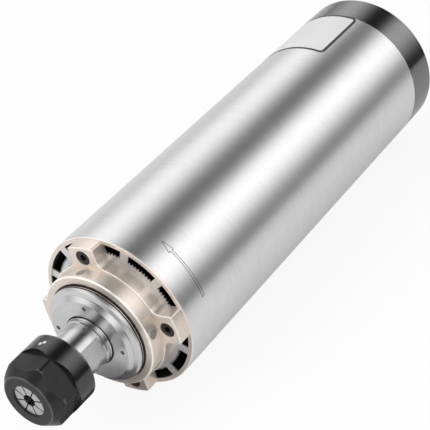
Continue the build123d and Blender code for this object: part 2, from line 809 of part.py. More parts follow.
def make_rotor_cage():
    bar_circle = rotor_radius() - bar_depth - bar_radius
    outer = rotor_radius() - end_ring_step
    inner = outer - end_ring_width
    front = tube(inner, outer, core_front - end_ring_length, core_front)
    rear = tube(inner, outer, core_rear, core_rear + end_ring_length)
    bar = Pos(bar_circle, 0, 0) * rod(bar_radius, core_front - cut_over, core_rear + cut_over)
    return front + rear + spread(bar_count, bar)


def make_balance_rings():
    front_end = core_front - end_ring_length
    rear_start = core_rear + end_ring_length
    inner = rotor_seat_radius + seat_clearance
    return [
        tube(inner, balance_ring_radius, front_bearing_end + shoulder_length, front_end),
        tube(inner, balance_ring_radius, rear_start, rear_start + balance_ring_length),
    ]


def make_rear_lock_nut():
    nut = tube(lock_thread_radius + seat_clearance, lock_nut_radius, rear_bearing_end, lock_end)
    slot = Pos(lock_nut_radius - lock_nut_slot_depth, rear_bearing_end - cut_over, 0) * Box(
        2 * lock_nut_slot_depth, lock_length + 2 * cut_over, lock_nut_slot_width,
        align=(Align.MIN, Align.MIN, Align.CENTER),
    )
    return nut - spread(lock_nut_slots, slot)


def make_fan():
    hub = tube(fan_seat_radius + seat_clearance, fan_hub_radius, fan_front, fan_rear)
    middle = (fan_front + fan_rear) / 2
    sections = []
    root = fan_hub_radius * (1 - blade_root_depth)
    for reach, pitch in ((root, blade_root_pitch), (fan_tip_reach, blade_tip_pitch)):
        plane = Plane(origin=(reach, middle, 0), x_dir=(0, 1, 0), z_dir=(1, 0, 0))
        sections.append(plane * (Rot(Z=pitch) * Rectangle(blade_chord, blade_thickness)))
    blade = loft(sections)
    fan = hub + spread(fan_blades, blade)
    keyway = Pos(0, fan_front - cut_over, 0) * Box(
        fan_seat_radius + key_width / 2, fan_hub_length + 2 * cut_over, key_width + 2 * seat_clearance,
        align=(Align.MIN, Align.MIN, Align.CENTER),
    )
    return fan - keyway


def make_fan_key():
    return Pos(fan_seat_radius - key_width / 2, fan_front + key_setback, 0) * Box(
        key_width, key_length, key_width, align=(Align.MIN, Align.MIN, Align.CENTER)
    )


def make_fan_washer():
    return tube(fan_seat_radius + screw_clearance, washer_radius, fan_rear, washer_rear)


def make_fan_nut():
    sketch = hexagon(2 * fan_nut_radius * cos(radians(30))) - Circle(fan_seat_radius + seat_clearance)
    return prism(sketch, washer_rear, washer_rear + fan_nut_length)


# Collet and nut


def make_collet():
    groove_front = collet_face + (collet_front_radius - collet_face_radius) / tan(radians(collet_front_angle))
    groove_rear = groove_front + collet_groove_width
    rear = collet_face + collet_length
    collet = turned(
        (collet_bore_radius, collet_face), (collet_face_radius, collet_face),
        (collet_front_radius, groove_front), (collet_groove_radius, groove_front),
        (collet_groove_radius, groove_rear), (collet_radius, groove_rear),
        (collet_radius, groove_rear + collet_land), (taper_radius(rear), rear), (collet_bore_radius, rear),
    )
    slot = Box(
        2 * collet_radius, collet_length - collet_web + cut_over, collet_slot_width,
        align=(Align.MIN, Align.MIN, Align.CENTER),
    )
    front_slots = spread(collet_slots, Pos(0, collet_face - cut_over, 0) * slot, collet_slot_angle)
    rear_slots = spread(
        collet_slots, Pos(0, collet_face + collet_web, 0) * slot, collet_slot_angle + 180 / collet_slots
    )
    return collet - front_slots - rear_slots


def make_collet_nut():
    slope = tan(radians(collet_front_angle))
    mouth = collet_face_radius + running_clearance / cos(radians(collet_front_angle))
    cone_rear = collet_face + (collet_front_radius - collet_face_radius) / slope
    lip_rear = cone_rear + nut_lip_clearance + nut_lip_width
    lip_radius = collet_front_radius + nut_lip_clearance / 2
    inner_lip = lip_radius - nut_lip_offset
    thread_front = nut_rear - thread_length
    thread_radius = nose_radius + running_clearance
    cone_radius = mouth + (cone_rear - collet_face) * slope
    nut = turned(
        (mouth, nut_face + nut_mouth_edge), (mouth + nut_mouth_edge, nut_face),
        (nut_face_radius, nut_face), (nut_radius, nut_face + nut_bevel_length),
        (nut_radius, nut_rear - nut_rear_edge), (nut_radius - nut_rear_edge, nut_rear),
        (thread_radius + nut_entry_edge, nut_rear), (thread_radius, nut_rear - nut_entry_edge),
        (thread_radius, thread_front), (nut_cavity_radius, thread_front - nut_front_gap),
        (nut_cavity_radius, lip_rear),
        (inner_lip, lip_rear), (inner_lip, cone_rear + nut_lip_clearance),
        (cone_radius, cone_rear + nut_lip_clearance), (cone_radius, cone_rear), (mouth, collet_face),
    )
    nut -= Pos(nut_lip_offset, 0, 0) * rod(lip_radius, cone_rear, lip_rear + nut_lip_clearance)
    middle = nut_face + nut_flat_length - nut_cutter_radius
    cutter = Pos(nut_flat_distance, middle, 0) * Rot(Y=90) * Cylinder(
        nut_cutter_radius, nut_radius, align=(Align.CENTER, Align.CENTER, Align.MIN)
    )
    nut -= spread(nut_flats, cutter, nut_flat_angle)
    for setback, angle in balance_spots:
        spot = Pos(nut_radius - balance_spot_depth, nut_face + setback, 0) * Rot(Y=90) * Cylinder(
            balance_spot_radius, 2 * balance_spot_depth, align=(Align.CENTER, Align.CENTER, Align.MIN)
        )
        nut -= turn_to(angle, spot)
    return nut


front_outers, front_inners, front_balls, front_cages = bearing_set(
    front_bore, front_outside, front_width, front_ball, front_ball_count, bearing_front
)
rear_outers, rear_inners, rear_balls, rear_cages = bearing_set(
    rear_bore, rear_outside, rear_width, rear_ball, rear_ball_count, rear_bearing_front
)

nodes = {
    "outer_housing": make_outer_housing(),
    "cooling_sleeve": make_cooling_sleeve(),
    "front_flange": make_front_flange(),
    "flange_screws": make_flange_screws(),
    "flange_plugs": make_flange_plugs(),
    "front_cap": make_front_cap(),
    "cap_seal_ring": make_cap_seal_ring(),
    "front_bearing_outer_rings": front_outers,
    "stator_core": make_stator_core(),
    "stator_winding": make_stator_winding(),
    "rear_bracket": make_rear_bracket(),
    "rear_bearing_outer_rings": rear_outers,
    "preload_spring": make_preload_spring(),
    "cover_standoffs": make_cover_standoffs(),
    "rear_cover": make_rear_cover(),
    "cover_screws": make_cover_screws(),
    "socket_shell": make_socket_shell(),
    "socket_nut": make_socket_nut(),
    "socket_insulator": make_socket_insulator(),
    "socket_pins": make_socket_pins(),
    "motor_lead": make_motor_lead(),
    "shaft": make_shaft(),
    "slinger": make_slinger(),
    "rotor_core": make_rotor_core(),
    "rotor_cage": make_rotor_cage(),
    "balance_rings": make_balance_rings(),
    "front_bearing_inner_rings": front_inners,
    "rear_bearing_inner_rings": rear_inners,
    "rear_lock_nut": make_rear_lock_nut(),
    "fan": make_fan(),
    "fan_key": make_fan_key(),
    "fan_washer": make_fan_washer(),
    "fan_nut": make_fan_nut(),
    "front_bearing_balls": front_balls,
    "front_bearing_cages": front_cages,
    "rear_bearing_balls": rear_balls,
    "rear_bearing_cages": rear_cages,
    "collet": make_collet(),
    "collet_nut": make_collet_nut(),
}

os.makedirs("parts", exist_ok=True)
for name, piece in nodes.items():
    items = piece if isinstance(piece, list) else [piece]
    solids = [solid for item in items for solid in item.solids()]
    export_step(solids[0] if len(solids) == 1 else Compound(solids), f"parts/{name}.step")
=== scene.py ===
import json
import math

import bpy
from mathutils import Matrix, Vector

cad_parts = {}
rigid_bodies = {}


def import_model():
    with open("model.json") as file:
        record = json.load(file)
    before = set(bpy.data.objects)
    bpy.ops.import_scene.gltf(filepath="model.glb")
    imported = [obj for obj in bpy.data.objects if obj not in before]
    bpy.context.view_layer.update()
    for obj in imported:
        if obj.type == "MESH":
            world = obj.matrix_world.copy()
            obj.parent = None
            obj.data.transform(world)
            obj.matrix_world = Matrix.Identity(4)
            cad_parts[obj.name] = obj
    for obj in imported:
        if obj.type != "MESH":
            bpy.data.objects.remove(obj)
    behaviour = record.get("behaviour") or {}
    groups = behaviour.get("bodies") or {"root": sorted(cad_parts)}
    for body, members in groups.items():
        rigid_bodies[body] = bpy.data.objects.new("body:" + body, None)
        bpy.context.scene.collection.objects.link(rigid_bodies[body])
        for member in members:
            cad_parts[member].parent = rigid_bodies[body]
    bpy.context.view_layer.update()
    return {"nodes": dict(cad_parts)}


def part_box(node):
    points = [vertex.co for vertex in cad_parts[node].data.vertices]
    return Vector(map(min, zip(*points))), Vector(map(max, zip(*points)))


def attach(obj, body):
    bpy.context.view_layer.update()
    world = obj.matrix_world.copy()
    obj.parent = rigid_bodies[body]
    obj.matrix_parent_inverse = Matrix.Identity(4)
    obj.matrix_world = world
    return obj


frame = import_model()
nodes = frame["nodes"]
print("frame loaded,", len(nodes), "nodes")

millimetre = 0.001


# Camera, at the photograph's viewing angle

cameraPlace = {
    "eye": (0.256199, -0.317752, 0.399086),
    "target": (0.0, 0.07932, 0.0),
    "lens": 106.03,
    "sensor": 36.0,
    "nearest": 0.01,
    "farthest": 50.0,
}


def makeCamera(place):
    lensData = bpy.data.cameras.new("camera")
    lensData.lens = place["lens"]
    lensData.sensor_width = place["sensor"]
    lensData.clip_start = place["nearest"]
    lensData.clip_end = place["farthest"]
    item = bpy.data.objects.new("camera", lensData)
    bpy.context.scene.collection.objects.link(item)
    eye, target = Vector(place["eye"]), Vector(place["target"])
    item.location = eye
    item.rotation_euler = (target - eye).to_track_quat("-Z", "Y").to_euler()
    bpy.context.scene.camera = item


makeCamera(cameraPlace)
bpy.context.scene.view_settings.view_transform = "Standard"
print("camera placed")


# Small helpers for shader trees


def feed(tree, socket, value):  # a number or a colour is set, and an output is linked
    if isinstance(value, (int, float)):
        socket.default_value = value
    elif isinstance(value, tuple):
        socket.default_value = (*value, 1.0)
    else:
        tree.links.new(value, socket)


def mathNode(tree, operation, *values):
    node = tree.nodes.new("ShaderNodeMath")
    node.operation = operation
    for socket, value in zip(node.inputs, values):
        feed(tree, socket, value)
    return node.outputs[0]


def plus(tree, first, second):
    return mathNode(tree, "ADD", first, second)


def times(tree, first, second):
    return mathNode(tree, "MULTIPLY", first, second)


def spread(tree, value, low, high, fromLow=0.0, fromHigh=1.0):
    node = tree.nodes.new("ShaderNodeMapRange")
    tree.links.new(value, node.inputs["Value"])
    for label, number in (("From Min", fromLow), ("From Max", fromHigh), ("To Min", low), ("To Max", high)):
        feed(tree, node.inputs[label], number)
    return node.outputs["Result"]


def mixColour(tree, mask, first, second):
    node = tree.nodes.new("ShaderNodeMix")
    node.data_type = "RGBA"
    tree.links.new(mask, node.inputs["Factor"])
    sockets = [socket for socket in node.inputs if socket.type == "RGBA"]
    for socket, colour in zip(sockets, (first, second)):
        feed(tree, socket, colour)
    return [socket for socket in node.outputs if socket.type == "RGBA"][0]


def noiseNode(tree, vector, scale, detail=2.0, roughness=0.5):
    node = tree.nodes.new("ShaderNodeTexNoise")
    for label, value in (("Scale", scale), ("Detail", detail), ("Roughness", roughness)):
        feed(tree, node.inputs[label], value)
    tree.links.new(vector, node.inputs["Vector"])
    return node.outputs["Fac"]


def joinNode(tree, x, y, z):
    node = tree.nodes.new("ShaderNodeCombineXYZ")
    for socket, value in zip(node.inputs, (x, y, z)):
        feed(tree, socket, value)
    return node.outputs[0]


def splitNode(tree, vector):
    node = tree.nodes.new("ShaderNodeSeparateXYZ")
    tree.links.new(vector, node.inputs[0])
    return node.outputs


def lengthOf(tree, first, second):
    return mathNode(tree, "SQRT", plus(tree, times(tree, first, first), times(tree, second, second)))


def radiusOf(tree, x, z):  # never quite nothing, because it is divided by
    smallest = 0.0001
    return mathNode(tree, "MAXIMUM", lengthOf(tree, x, z), smallest)


def toneOfEach(tree, place):  # one tone for each whole step of place
    tone = tree.nodes.new("ShaderNodeTexWhiteNoise")
    tone.noise_dimensions = "1D"
    tree.links.new(mathNode(tree, "FLOOR", place), tone.inputs["W"])
    return tone.outputs["Value"]


# Node groups that the finishes are made of


def newGroup(name, numbers, outputs, vectors=("Vector",)):
    group = bpy.data.node_groups.new(name, "ShaderNodeTree")
    for label in vectors:
        group.interface.new_socket(name=label, in_out="INPUT", socket_type="NodeSocketVector")
    for label, value in numbers.items():
        socket = group.interface.new_socket(name=label, in_out="INPUT", socket_type="NodeSocketFloat")
        socket.default_value = value
    for label in outputs:
        group.interface.new_socket(name=label, in_out="OUTPUT", socket_type="NodeSocketFloat")
    return group, group.nodes.new("NodeGroupInput").outputs, group.nodes.new("NodeGroupOutput").inputs


def useGroup(tree, group, **values):
    node = tree.nodes.new("ShaderNodeGroup")
    node.node_tree = group
    for label, value in values.items():
        feed(tree, node.inputs[label], value)
    return node.outputs


def makeTurnedLines():  # fine lines that run round the spindle's axis, and broad bands of them
    group, inside, outside = newGroup("turnedLines", {"Density": 3000.0, "Sweep": 2.0}, ["Lines", "Bands"])
    bandDensity, bandSweep = 0.12, 0.5  # as shares of those of the fine lines
    x, y, z = splitNode(group, inside["Vector"])
    radius = radiusOf(group, x, z)
    across = plus(group, y, radius)
    turnX = times(group, mathNode(group, "DIVIDE", x, radius), inside["Sweep"])
    turnZ = times(group, mathNode(group, "DIVIDE", z, radius), inside["Sweep"])
    fine = joinNode(group, turnX, times(group, across, inside["Density"]), turnZ)
    group.links.new(noiseNode(group, fine, 1.0, detail=3.0, roughness=0.6), outside["Lines"])
    broadAcross = times(group, across, times(group, inside["Density"], bandDensity))
    broad = joinNode(group, times(group, turnX, bandSweep), broadAcross, times(group, turnZ, bandSweep))
    group.links.new(noiseNode(group, broad, 1.0), outside["Bands"])
    return group


def makeHandling():  # soft smudges and a few small dull specks
    group, inside, outside = newGroup("handling", {"Scale": 60.0}, ["Smudge", "Specks"])
    smudgeRange, speckRange = (0.4, 0.62), (0.7, 0.78)
    speckFineness = 14.0  # times as fine as the smudges
    smudge = noiseNode(group, inside["Vector"], inside["Scale"], detail=4.0, roughness=0.6)
    group.links.new(spread(group, smudge, 0.0, 1.0, *smudgeRange), outside["Smudge"])
    specks = noiseNode(group, inside["Vector"], times(group, inside["Scale"], speckFineness), detail=1.0)
    group.links.new(spread(group, specks, 0.0, 1.0, *speckRange), outside["Specks"])
    return group


def makeGrain():  # the fine pits of castings, mouldings and blackened steel, and a cloudy change of tone
    group, inside, outside = newGroup("grain", {"Scale": 2500.0}, ["Grain", "Cloud"])
    cloudFineness = 0.03
    cells = group.nodes.new("ShaderNodeTexVoronoi")
    group.links.new(inside["Vector"], cells.inputs["Vector"])
    group.links.new(inside["Scale"], cells.inputs["Scale"])
    noise = noiseNode(group, inside["Vector"], inside["Scale"], roughness=0.6)
    group.links.new(times(group, plus(group, cells.outputs["Distance"], noise), 0.5), outside["Grain"])
    cloud = noiseNode(group, inside["Vector"], times(group, inside["Scale"], cloudFineness), detail=3.0)
    group.links.new(cloud, outside["Cloud"])
    return group


def makeRimWear():  # a ring at one radius and one place on the axis, such as a rubbed edge or a joint
    group, inside, outside = newGroup("rimWear", {"Radius": 0.02, "Along": 0.0, "Width": 0.0004}, ["Wear"])
    raggedScale, fadeFrom = 900.0, 0.5
    x, y, z = splitNode(group, inside["Vector"])
    across = mathNode(group, "SUBTRACT", radiusOf(group, x, z), inside["Radius"])
    along = mathNode(group, "SUBTRACT", y, inside["Along"])
    ragged = noiseNode(group, inside["Vector"], raggedScale, roughness=0.6)
    width = times(group, inside["Width"], plus(group, ragged, 0.5))
    distance = mathNode(group, "DIVIDE", lengthOf(group, across, along), width)
    group.links.new(spread(group, distance, 1.0, 0.0, fadeFrom, 1.0), outside["Wear"])
    return group


def makeSpot():  # a small round mark drilled from the side, at a place and an angle
    group, inside, outside = newGroup("spot", {"Along": 0.0, "Angle": 0.0, "Radius": 0.001}, ["Spot"])
    x, y, z = splitNode(group, inside["Vector"])
    cosine, sine = mathNode(group, "COSINE", inside["Angle"]), mathNode(group, "SINE", inside["Angle"])
    outward = plus(group, times(group, x, cosine), times(group, z, sine))
    side = mathNode(group, "SUBTRACT", times(group, z, cosine), times(group, x, sine))
    along = mathNode(group, "SUBTRACT", y, inside["Along"])
    near = mathNode(group, "LESS_THAN", lengthOf(group, side, along), inside["Radius"])
    group.links.new(times(group, near, mathNode(group, "GREATER_THAN", outward, 0.0)), outside["Spot"])
    return group


def makeMilledFlat():  # a flat milled at one angle and distance from the axis
    group, inside, outside = newGroup("milledFlat", {"Angle": 0.0, "Distance": 0.01}, ["Flat"])
    tolerance = 0.00003
    x, _, z = splitNode(group, inside["Vector"])
    cosine, sine = mathNode(group, "COSINE", inside["Angle"]), mathNode(group, "SINE", inside["Angle"])
    outward = plus(group, times(group, x, cosine), times(group, z, sine))
    away = mathNode(group, "ABSOLUTE", mathNode(group, "SUBTRACT", outward, inside["Distance"]))
    group.links.new(mathNode(group, "LESS_THAN", away, tolerance), outside["Flat"])
    return group


def makeBrokenEdge():  # the chamfers and rounds between faces that lie square to the axis and along it
    group, inside, outside = newGroup("brokenEdge", {}, ["Edge"], vectors=("Vector", "Normal"))
    leastLean, mostLean = 0.25, 0.93  # how far the normal points along the axis
    raggedScale, raggedRange = 500.0, (0.35, 0.6)
    # this mask carries a painted highlight along the edges, broken up by noise
    lean = mathNode(group, "ABSOLUTE", splitNode(group, inside["Normal"])[1])
    between = times(group, mathNode(group, "GREATER_THAN", lean, leastLean),
                    mathNode(group, "LESS_THAN", lean, mostLean))
    noise = noiseNode(group, inside["Vector"], raggedScale, roughness=0.6)
    group.links.new(times(group, between, spread(group, noise, 0.6, 1.0, *raggedRange)), outside["Edge"])
    return group


def makeSheets():  # stacked laminations, seen on their edges
    group, inside, outside = newGroup("sheets", {"Pitch": 0.0005}, ["Edge", "Tone"])
    gapShare = 0.18
    place = mathNode(group, "DIVIDE", splitNode(group, inside["Vector"])[1], inside["Pitch"])
    group.links.new(mathNode(group, "LESS_THAN", mathNode(group, "FRACT", place), gapShare), outside["Edge"])
    group.links.new(toneOfEach(group, place), outside["Tone"])
    return group


def makeWires():  # enamelled wires laid round the end turns
    group, inside, outside = newGroup("wires", {"Pitch": 0.0008}, ["Crown", "Tone"])
    strayScale, strayDistance = 70.0, 0.004
    x, y, z = splitNode(group, inside["Vector"])
    stray = times(group, noiseNode(group, inside["Vector"], strayScale), strayDistance)
    across = plus(group, plus(group, y, radiusOf(group, x, z)), stray)
    place = mathNode(group, "DIVIDE", across, inside["Pitch"])
    crown = mathNode(group, "SINE", times(group, mathNode(group, "FRACT", place), math.pi))
    group.links.new(crown, outside["Crown"])
    group.links.new(toneOfEach(group, place), outside["Tone"])
    return group


turnedLines = makeTurnedLines()
handling = makeHandling()
grain = makeGrain()
rimWear = makeRimWear()
spot = makeSpot()
milledFlat = makeMilledFlat()
brokenEdge = makeBrokenEdge()
sheets = makeSheets()
wires = makeWires()
print("node groups built")


# Finishes

toneRange = (0.3, 0.7)  # the part of a noise that a tone or a roughness is spread over
pitRange = (0.2, 0.8)
lineShare = 0.65  # of the fine lines in a turned tone, where the rest is the broad bands


def newMaterial(name):
    material = bpy.data.materials.new(name)
    material.use_nodes = True
    return material, material.node_tree


def startMaterial(name, look):
    material, tree = newMaterial(name)
    shader = tree.nodes["Principled BSDF"]
    for label, key in (("Metallic", "metallic"), ("Coat Weight", "coat"), ("Anisotropic", "anisotropic"),
                       ("Anisotropic Rotation", "anisotropicTurn")):
        if key in look:
            shader.inputs[label].default_value = look[key]
    return material, tree, shader, tree.nodes.new("ShaderNodeTexCoord").outputs["Object"]


def bumpFrom(tree, shader, height, distance):
    node = tree.nodes.new("ShaderNodeBump")
    node.inputs["Strength"].default_value = 1.0
    node.inputs["Distance"].default_value = distance
    tree.links.new(height, node.inputs["Height"])
    tree.links.new(node.outputs["Normal"], shader.inputs["Normal"])


def roughFrom(tree, value, look, fromLow=0.0, fromHigh=1.0):
    middle, part = look["roughness"], look["roughSpread"]
    return spread(tree, value, middle - part, middle + part, fromLow, fromHigh)


def turnedFinish(name, look):  # turned or brushed metal, with its lines round the axis
    material, tree, shader, place = startMaterial(name, look)
    lines = useGroup(tree, turnedLines, Vector=place, Density=look["density"], Sweep=look["sweep"])
    marks = useGroup(tree, handling, Vector=place, Scale=look["smudgeScale"])
    tone = plus(tree, times(tree, lines["Lines"], lineShare), times(tree, lines["Bands"], 1.0 - lineShare))
    colour = mixColour(tree, spread(tree, tone, 0.0, 1.0, *toneRange), look["dark"], look["bright"])
    # the chamfers and rounds get a pale, less metallic colour: a painted highlight along the edges
    if "paintedEdgeHighlight" in look:
        normal = tree.nodes.new("ShaderNodeTexCoord").outputs["Normal"]
        edge = useGroup(tree, brokenEdge, Vector=place, Normal=normal)["Edge"]
        colour = mixColour(tree, edge, colour, look["paintedEdgeHighlight"])
        tree.links.new(spread(tree, edge, look["metallic"], look["edgeMetallic"]), shader.inputs["Metallic"])
    for radius, along, width in look.get("joints", []):
        mask = useGroup(tree, rimWear, Vector=place, Radius=radius, Along=along, Width=width)["Wear"]
        colour = mixColour(tree, mask, colour, look["jointColour"])
    if "faceFrom" in look:
        behind = mathNode(tree, "GREATER_THAN", splitNode(tree, place)[1], look["faceFrom"])
        colour = mixColour(tree, behind, colour, look["faceColour"])
    extraRough = 0.0
    # milled flats get a lighter colour, partly their milled finish and partly a painted highlight, and more
    # roughness
    for angle in look.get("flatAngles", []):
        turn = math.radians(angle)
        mask = useGroup(tree, milledFlat, Vector=place, Angle=turn, Distance=look["flatDistance"])["Flat"]
        colour = mixColour(tree, mask, colour, look["flatToneAndSheen"])
        extraRough = plus(tree, extraRough, times(tree, mask, look["flatRoughness"]))
    tree.links.new(colour, shader.inputs["Base Color"])
    rough = roughFrom(tree, lines["Lines"], look, *toneRange)
    for mark in (marks["Smudge"], marks["Specks"]):
        rough = plus(tree, rough, times(tree, mark, look["smudge"]))
    tree.links.new(plus(tree, rough, extraRough), shader.inputs["Roughness"])
    if "anisotropic" in look:
        tangent = tree.nodes.new("ShaderNodeTangent")
        tangent.direction_type = "RADIAL"
        tangent.axis = "Y"
        tree.links.new(tangent.outputs[0], shader.inputs["Tangent"])
    bumpFrom(tree, shader, lines["Lines"], look["depth"])
    return material


def grainFinish(name, look):  # castings, mouldings, rubber, ink, plating, polished balls and blackened steel
    material, tree, shader, place = startMaterial(name, look)
    pits = useGroup(tree, grain, Vector=place, Scale=look["scale"])
    marks = useGroup(tree, handling, Vector=place, Scale=look["smudgeScale"])
    colour = mixColour(tree, spread(tree, pits["Cloud"], 0.0, 1.0, *toneRange), look["dark"], look["bright"])
    extraRough = 0.0
    # behind a given place along the axis the colour is swapped: painted shade on the cooling sleeve, painted
    # sheen on the nut collar; the roughness changes there too
    if "shadeAndSheenFrom" in look:
        shadeAndSheenPart = mathNode(tree, "GREATER_THAN", splitNode(tree, place)[1], look["shadeAndSheenFrom"])
        colour = mixColour(tree, shadeAndSheenPart, colour, look["shadeAndSheenColour"])
        extraRough = times(tree, shadeAndSheenPart, look["rearRoughness"])
    for radius, along, width in look.get("wear", []):
        mask = useGroup(tree, rimWear, Vector=place, Radius=radius, Along=along, Width=width)["Wear"]
        colour = mixColour(tree, times(tree, mask, look["wearAmount"]), colour, look["worn"])
    # the drilled balance spots are painted near-white and made less metallic: bare metal in the spots, with a
    # painted glint
    bareAndGlint = 0.0
    for along, angle, radius in look.get("spots", []):
        turn = math.radians(angle)
        mask = useGroup(tree, spot, Vector=place, Along=along, Angle=turn, Radius=radius)["Spot"]
        colour = mixColour(tree, mask, colour, look["bareAndGlintColour"])
        bareAndGlint = plus(tree, bareAndGlint, mask)
    tree.links.new(colour, shader.inputs["Base Color"])
    rough = roughFrom(tree, pits["Grain"], look, *pitRange)
    rough = plus(tree, rough, times(tree, marks["Smudge"], look["smudge"]))
    tree.links.new(plus(tree, rough, extraRough), shader.inputs["Roughness"])
    if "spots" in look:
        tree.links.new(spread(tree, bareAndGlint, look["metallic"], look["spotMetallic"]), shader.inputs["Metallic"])
    bumpFrom(tree, shader, pits["Grain"], look["depth"])
    return material


def dress(material, *names):
    for name in names:
        for materialSlot in nodes[name].material_slots:
            materialSlot.material = material


# Tube, brushed round its axis

tubeLook = {
    "metallic": 1.0, "dark": (0.77, 0.77, 0.775), "bright": (0.90, 0.90, 0.905),
    "roughness": 0.33, "roughSpread": 0.03,
    "density": 7500.0, "sweep": 7.0, "smudgeScale": 40.0, "smudge": 0.02, "depth": 0.000004,
    "anisotropic": 0.5, "anisotropicTurn": 0.25,
}
dress(turnedFinish("brushedTube", tubeLook), "outer_housing")

# Front flange, champagne anodised

flangeLook = {
    "metallic": 0.76, "dark": (0.79, 0.695, 0.61), "bright": (0.91, 0.82, 0.735),
    "roughness": 0.32, "roughSpread": 0.03,
    # pale, less metallic chamfers: painted edge highlight
    "paintedEdgeHighlight": (0.98, 0.95, 0.91), "edgeMetallic": 0.3,
    "density": 7000.0, "sweep": 5.0, "smudgeScale": 60.0, "smudge": 0.03, "depth": 0.000002,
    "anisotropic": 0.8, "anisotropicTurn": 0.25,
    "joints": [(0.0252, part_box("front_flange")[0][1], 0.0006)], "jointColour": (0.02, 0.019, 0.018),
}
dress(turnedFinish("champagneFlange", flangeLook), "front_flange")

plugLook = {
    "metallic": 0.0, "dark": (0.20, 0.19, 0.18), "bright": (0.28, 0.265, 0.25),
    "roughness": 0.6, "roughSpread": 0.1,
    "scale": 2500.0, "smudgeScale": 120.0, "smudge": 0.05, "depth": 0.00002,
}
dress(grainFinish("plugFiller", plugLook), "flange_plugs")

screwLook = {
    "metallic": 0.5, "dark": (0.018, 0.018, 0.02), "bright": (0.035, 0.035, 0.04),
    "roughness": 0.38, "roughSpread": 0.08,
    "scale": 3000.0, "smudgeScale": 200.0, "smudge": 0.06, "depth": 0.00001,
}
dress(grainFinish("blackScrew", screwLook), "flange_screws", "cover_screws", "rear_lock_nut")

# Cap and shaft, turned and ground bright

capLook = {
    "metallic": 1.0, "dark": (0.66, 0.66, 0.665), "bright": (0.74, 0.74, 0.745),
    "roughness": 0.28, "roughSpread": 0.015,
    "density": 9000.0, "sweep": 2.0, "smudgeScale": 25.0, "smudge": 0.01, "depth": 0.0000006,
    "anisotropic": 0.7, "anisotropicTurn": 0.25,
    "joints": [(0.0246, -0.01588, 0.0006), (0.0246, -0.01693, 0.0006)],
    "jointColour": (0.01, 0.01, 0.01),
}
dress(turnedFinish("turnedCap", capLook), "front_cap", "slinger")

shaftLook = {
    "metallic": 1.0, "dark": (0.60, 0.60, 0.605), "bright": (0.68, 0.68, 0.685),
    "roughness": 0.17, "roughSpread": 0.02,
    "density": 9000.0, "sweep": 2.0, "smudgeScale": 90.0, "smudge": 0.02, "depth": 0.0000006,
    # milled flats painted lighter: partly their milled finish, partly painted highlight
    "flatAngles": (29.2, 209.2), "flatDistance": 0.0105, "flatToneAndSheen": (0.86, 0.86, 0.865),
    "flatRoughness": 0.28,
}
dress(turnedFinish("groundShaft", shaftLook), "shaft", "fan_key")

# Collet and its nut

colletLook = {
    "metallic": 1.0, "dark": (0.48, 0.48, 0.485), "bright": (0.60, 0.60, 0.605),
    "roughness": 0.34, "roughSpread": 0.05,
    "density": 5600.0, "sweep": 6.0, "smudgeScale": 200.0, "smudge": 0.06, "depth": 0.000004,
}
dress(turnedFinish("springCollet", colletLook), "collet")

nutLook = {
    "metallic": 0.95, "dark": (0.038, 0.038, 0.039), "bright": (0.054, 0.054, 0.055),
    "roughness": 0.36, "roughSpread": 0.03,
    # the collar behind this place is painted lighter than the rest of the nut: painted sheen for its
    # highlight; it is also smoother
    "shadeAndSheenFrom": -0.0505, "shadeAndSheenColour": (0.088, 0.088, 0.09), "rearRoughness": -0.22,
    "scale": 2600.0, "smudgeScale": 60.0, "smudge": 0.03, "depth": 0.000001,
    "wear": [(0.0170, -0.0403, 0.0007), (0.0128, -0.0640, 0.0006), (0.0170, -0.0590, 0.0006)],
    "wearAmount": 0.5, "worn": (0.22, 0.22, 0.23),
    # balance spots painted near-white: bare metal with a painted glint
    "spots": [(-0.0463, 110.9, 0.00083), (-0.0450, 106.4, 0.00083)], "bareAndGlintColour": (0.9, 0.9, 0.9),
    "spotMetallic": 0.2,
}
dress(grainFinish("blackenedNut", nutLook), "collet_nut")

# Cooling sleeve and castings

sleeveLook = {
    "metallic": 0.9, "dark": (0.66, 0.66, 0.67), "bright": (0.84, 0.84, 0.85),
    "roughness": 0.42, "roughSpread": 0.1,
    "scale": 1800.0, "smudgeScale": 150.0, "smudge": 0.08, "depth": 0.00002,
    # all of the sleeve behind its front face is painted near-black: painted shade inside the tube's windows
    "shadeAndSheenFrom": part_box("cooling_sleeve")[0][1] + 0.0006, "shadeAndSheenColour": (0.02, 0.02, 0.021),
    "rearRoughness": 0.0,
}
dress(grainFinish("extrudedSleeve", sleeveLook), "cooling_sleeve")

castLook = {
    "metallic": 0.9, "dark": (0.44, 0.44, 0.45), "bright": (0.62, 0.62, 0.63),
    "roughness": 0.5, "roughSpread": 0.1,
    "scale": 1400.0, "smudgeScale": 90.0, "smudge": 0.08, "depth": 0.00004,
}
dress(grainFinish("castAluminium", castLook), "rear_bracket", "rotor_cage")

# Rear cover, satin black

coverLook = {
    "metallic": 1.0, "dark": (0.20, 0.20, 0.203), "bright": (0.24, 0.24, 0.243),
    "roughness": 0.12, "roughSpread": 0.02,
    "density": 4200.0, "sweep": 1.2, "smudgeScale": 60.0, "smudge": 0.03, "depth": 0.000002,
    "faceFrom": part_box("rear_cover")[1][1] - 0.0002, "faceColour": (0.07, 0.07, 0.072),
}
dress(turnedFinish("satinCover", coverLook), "rear_cover")

# Fan and other mouldings

mouldingLook = {
    "metallic": 0.0, "dark": (0.022, 0.022, 0.023), "bright": (0.036, 0.036, 0.037),
    "roughness": 0.5, "roughSpread": 0.08,
    "scale": 1800.0, "smudgeScale": 100.0, "smudge": 0.08, "depth": 0.00002,
}
dress(grainFinish("blackMoulding", mouldingLook), "fan", "socket_insulator")

